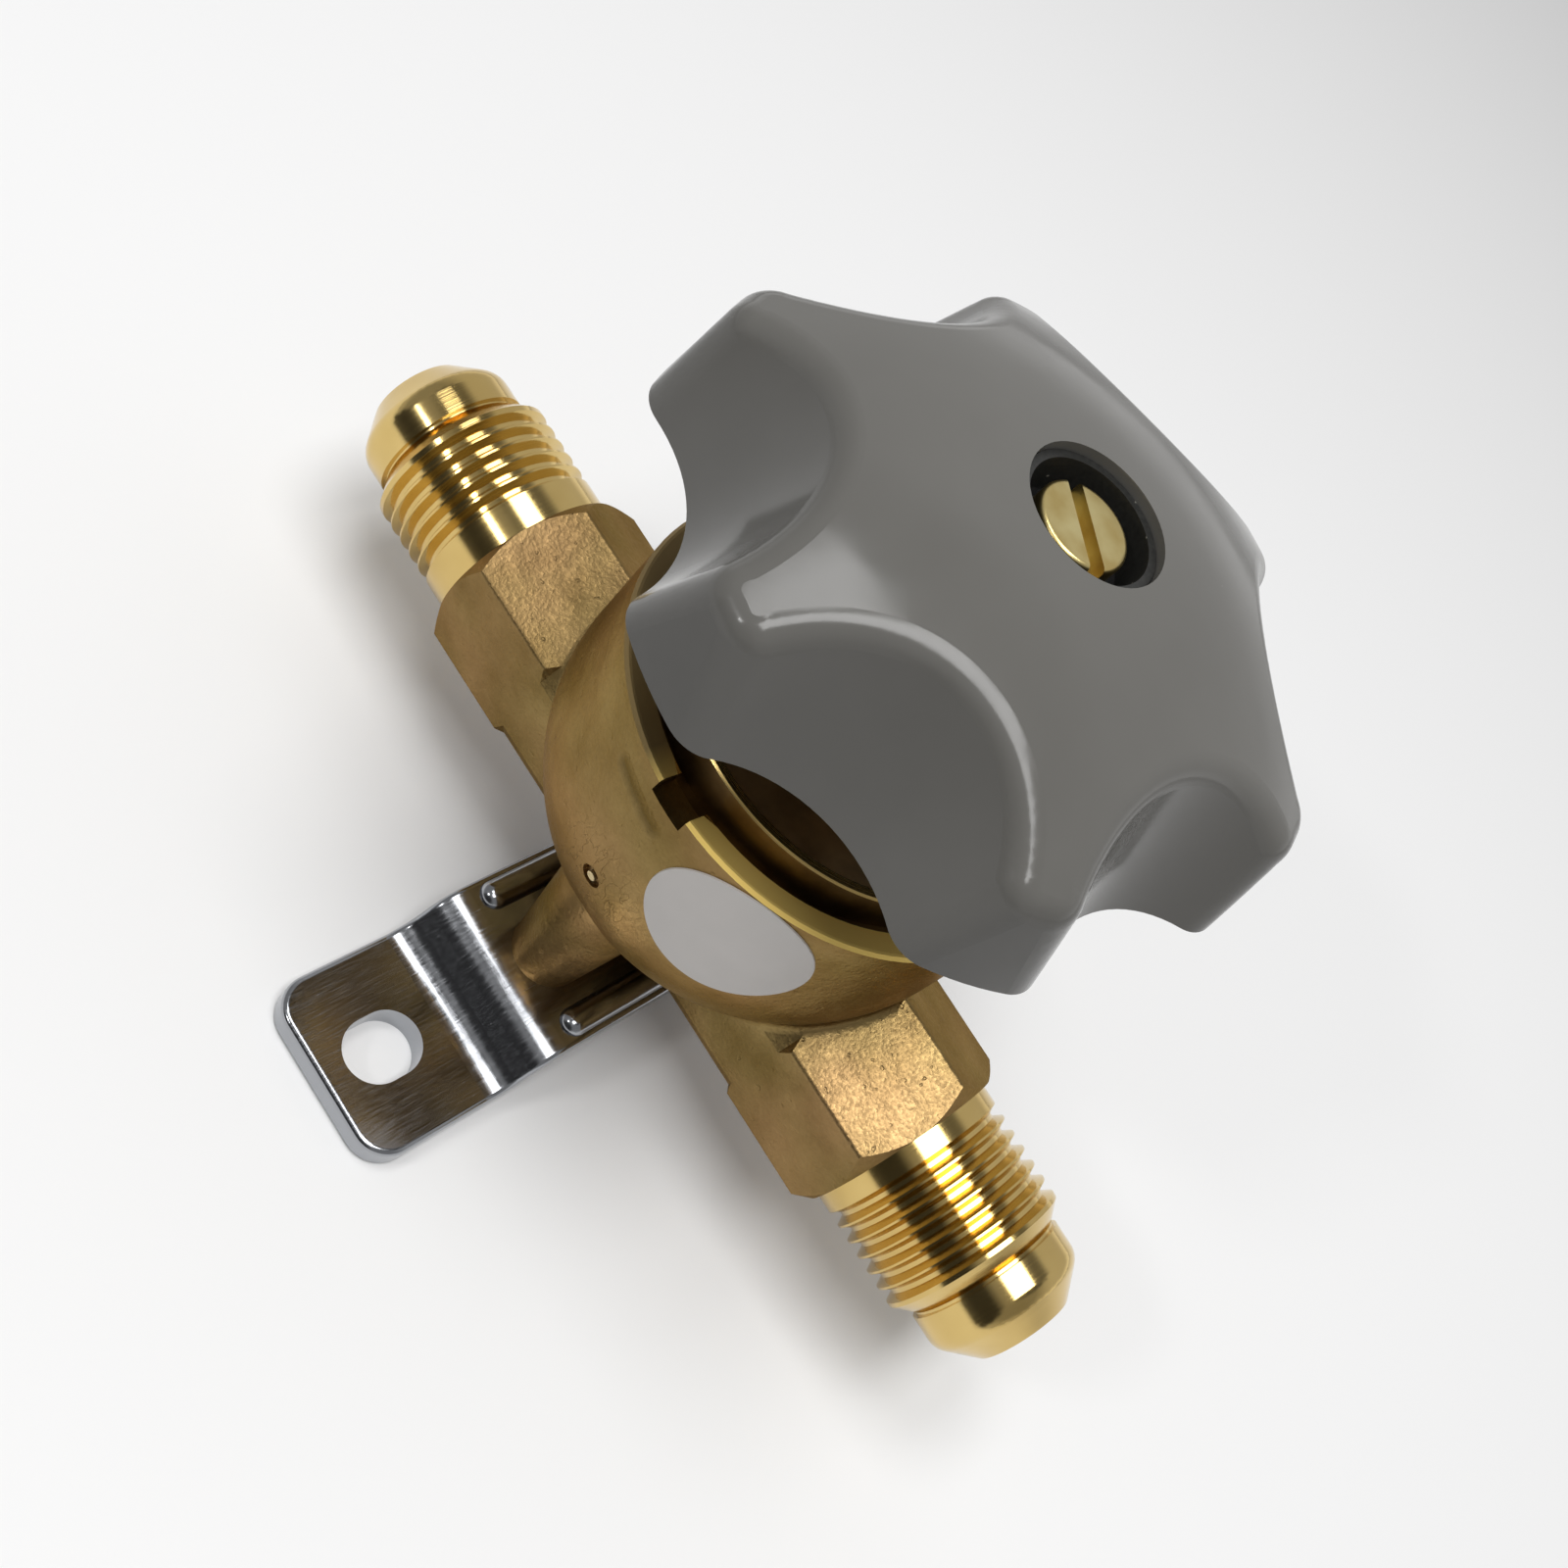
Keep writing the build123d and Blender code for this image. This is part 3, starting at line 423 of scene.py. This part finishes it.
# Painted shade: the bonnet's walls and its recess are painted dark brown for the handwheel's
# shadow.
finish([shade_painted_brass("bonnet_painted_shade", *BONNET_SHADE_BROWNS), bar_brass,
        shade_painted_brass("recess_painted_shade", *RECESS_SHADE_BROWNS)], "bonnet")
SHADED_WALL, EDGE, RECESS = range(3)
for face in node["bonnet"].data.polygons:
    reach = stem_distance(face)
    at_edge_height = BONNET_EDGE_HEIGHT < face.center.z < BONNET_EDGE_HEIGHT + MM
    if at_edge_height and reach > BONNET_EDGE_RADIUS:
        face.material_index = EDGE
    else:
        face.material_index = RECESS if reach < BONNET_RECESS_RADIUS else SHADED_WALL


# Diaphragms, the opening spring and the disc screw: stainless steel, rolled or drawn. The bonnet
# clamps the diaphragms, and the spring stands on the chamber's floor and lifts the plunger.
def stainless():
    """Cool bright steel with fine rolling marks."""
    material, tree, surface = surface_of("spring_stainless", (0.56, 0.56, 0.54), metallic=1.0,
                                         roughness=0.22)
    marks = grain(tree, size_mm=0.25, detail=3.0, stretch=(0.2, 3, 3))
    vary(tree, surface, "Roughness", marks, 0.16, 0.34)
    raised(tree, surface, marks, depth_mm=0.002)
    return material


finish([stainless()], "diaphragm_lower", "diaphragm_middle", "diaphragm_upper", "opening_spring",
       "disc_screw")


# Slip ring, seat disc and the ring on the stem's collar: natural white sealing plastic, turned
# from rod, a little waxy.
SEALING_WHITE = ((0.77, 0.755, 0.70), (0.83, 0.82, 0.77))


def sealing_plastic():
    """Waxy white with faint turning rings."""
    material, tree, surface = surface_of("sealing_plastic", (0.80, 0.79, 0.74), metallic=0.0,
                                         roughness=0.42, Subsurface_Weight=0.1,
                                         Subsurface_Scale=0.5 * MM)
    vary(tree, surface, "Base Color", grain(tree, size_mm=4.0, detail=3.0), *SEALING_WHITE)
    raised(tree, surface, lathe_rings(tree, "Z", pitch_mm=0.2), depth_mm=0.004)
    return material


finish([sealing_plastic()], "slip_ring", "seat_disc", "backseat_ring")


# The ring that keeps dirt off the stem: moulded black rubber, laid round the stem in a pocket of
# the bonnet's neck, under the gland ring.
def seal_rubber():
    """Matt black with the fine grain of a moulded ring."""
    material, tree, surface = surface_of("seal_rubber", (0.02, 0.02, 0.02), metallic=0.0,
                                         roughness=0.6)
    skin = grain(tree, size_mm=0.15, detail=2.0)
    vary(tree, surface, "Roughness", skin, 0.52, 0.70)
    raised(tree, surface, skin, depth_mm=0.006)
    return material


finish([seal_rubber()], "dust_o_ring")


# Handwheel: one hollow moulding in grey plastic with a polished outside. It sits on the stem's
# square through its sleeve, and the screw holds it down.
WHEEL_GREY = ((0.124, 0.120, 0.111), (0.139, 0.135, 0.125))
WHEEL_DUST = (0.6, 0.58, 0.52, 1)


def dusted(tree, clean, dust, cell_mm, speck_mm, share):
    """A clean colour with a few specks of dust, one at most in each cell of a given size."""
    cells = put(tree, "ShaderNodeTexVoronoi", Vector=on_object(tree), Scale=1 / (cell_mm * MM))
    near = spread(tree, cells.outputs["Distance"], 1.0, 0.0, speck_mm / cell_mm / 2,
                  speck_mm / cell_mm)
    chance = put(tree, "ShaderNodeSeparateColor", Color=cells.outputs["Color"]).outputs["Red"]
    speck = calc(tree, "MULTIPLY", near, calc(tree, "LESS_THAN", chance, share))
    return blended(tree, speck, clean, dust)


def grey_plastic():
    """Glossy grey with the faint waviness of a polished mould and a few specks of dust."""
    material, tree, surface = surface_of("grey_plastic", (0.131, 0.127, 0.118), metallic=0.0,
                                         roughness=0.12, IOR=1.45, Specular_IOR_Level=0.4)
    clean = spread(tree, grain(tree, size_mm=14.0, detail=3.0), *WHEEL_GREY, 0.3, 0.7)
    tree.links.new(dusted(tree, clean, WHEEL_DUST, cell_mm=7.0, speck_mm=0.20, share=0.12),
                   surface.inputs["Base Color"])
    vary(tree, surface, "Roughness", grain(tree, size_mm=5.0, detail=4.0), 0.11, 0.20)
    raised(tree, surface, grain(tree, size_mm=3.0, detail=1.0), depth_mm=0.012)
    return material


finish([grey_plastic()], "handwheel", crease_degrees=40)


# The sleeve in the handwheel's hole and the washer under its screw: both black, one moulded in
# plastic and one oxidised steel.
SLEEVE_BLACK = ((0.014, 0.014, 0.013), (0.024, 0.024, 0.022))
SLEEVE_DUST = (0.35, 0.34, 0.30, 1)


def black_plastic():
    """Satin black moulding with a faint grain and a few specks of dust."""
    material, tree, surface = surface_of("black_plastic", (0.018, 0.018, 0.017), metallic=0.0,
                                         roughness=0.42)
    skin = grain(tree, size_mm=0.30, detail=2.0)
    clean = spread(tree, skin, *SLEEVE_BLACK, 0.3, 0.7)
    tree.links.new(dusted(tree, clean, SLEEVE_DUST, cell_mm=1.1, speck_mm=0.12, share=0.22),
                   surface.inputs["Base Color"])
    raised(tree, surface, skin, depth_mm=0.01)
    return material


def oxidised_steel():
    """Near black steel, lightly scratched."""
    material, tree, surface = surface_of("oxidised_steel", (0.05, 0.05, 0.05), metallic=0.9,
                                         roughness=0.35)
    scratch = grain(tree, size_mm=0.4, detail=3.0, stretch=(4, 0.5, 1))
    vary(tree, surface, "Roughness", scratch, 0.28, 0.50)
    raised(tree, surface, scratch, depth_mm=0.006)
    return material


finish([black_plastic()], "hub_insert")
finish([oxidised_steel()], "wheel_washer")


# Bracket, its screws and washers: strip steel, pressed, bright zinc plated. The screws come up
# through the bracket into the foot of the valve body.
def plated_steel():
    """Bright grey plating with fine scratches along the strip."""
    material, tree, surface = surface_of("plated_steel", (0.37, 0.38, 0.40), metallic=1.0,
                                         roughness=0.14)
    scratch = grain(tree, size_mm=0.6, detail=4.0, stretch=(6, 0.25, 1))
    vary(tree, surface, "Roughness", scratch, 0.12, 0.28, 0.35, 0.75)
    raised(tree, surface, scratch, depth_mm=0.003)
    raised(tree, surface, grain(tree, size_mm=7.0, detail=2.0), depth_mm=0.05)
    return material


finish([plated_steel()], "bracket", "bracket_screws", "bracket_washers")


# Label: a thin oval of bare foil, cut out and stuck on the drum, with a satin face that has
# crumpled a little.
FOIL_GREY = ((0.73, 0.70, 0.67), (0.78, 0.745, 0.715))


def bare_foil():
    """Pale satin grey with the faintest crumple."""
    material, tree, surface = surface_of("bare_foil", (0.75, 0.72, 0.69), metallic=0.2,
                                         roughness=0.45)
    vary(tree, surface, "Base Color", grain(tree, size_mm=5.0, detail=2.0), *FOIL_GREY)
    raised(tree, surface, grain(tree, size_mm=1.5, detail=2.0), depth_mm=0.006)
    return material


finish([bare_foil()], "label")


# The opening spring and the diaphragms give way as the valve closes. A copy of each, hung on the
# valve's body, stands in for it.
plunger_lift = next(joint for joint in frame["record"]["behaviour"]["joints"]
                    if joint["name"] == "plunger_lift")
for springy in plunger_lift["deforming_nodes"]:
    name = springy["node"]
    copy = bpy.data.objects.new("flexing_" + name, node[name].data.copy())
    bpy.context.scene.collection.objects.link(copy)
    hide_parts(name)
    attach(copy, "valve")
    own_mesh(copy)
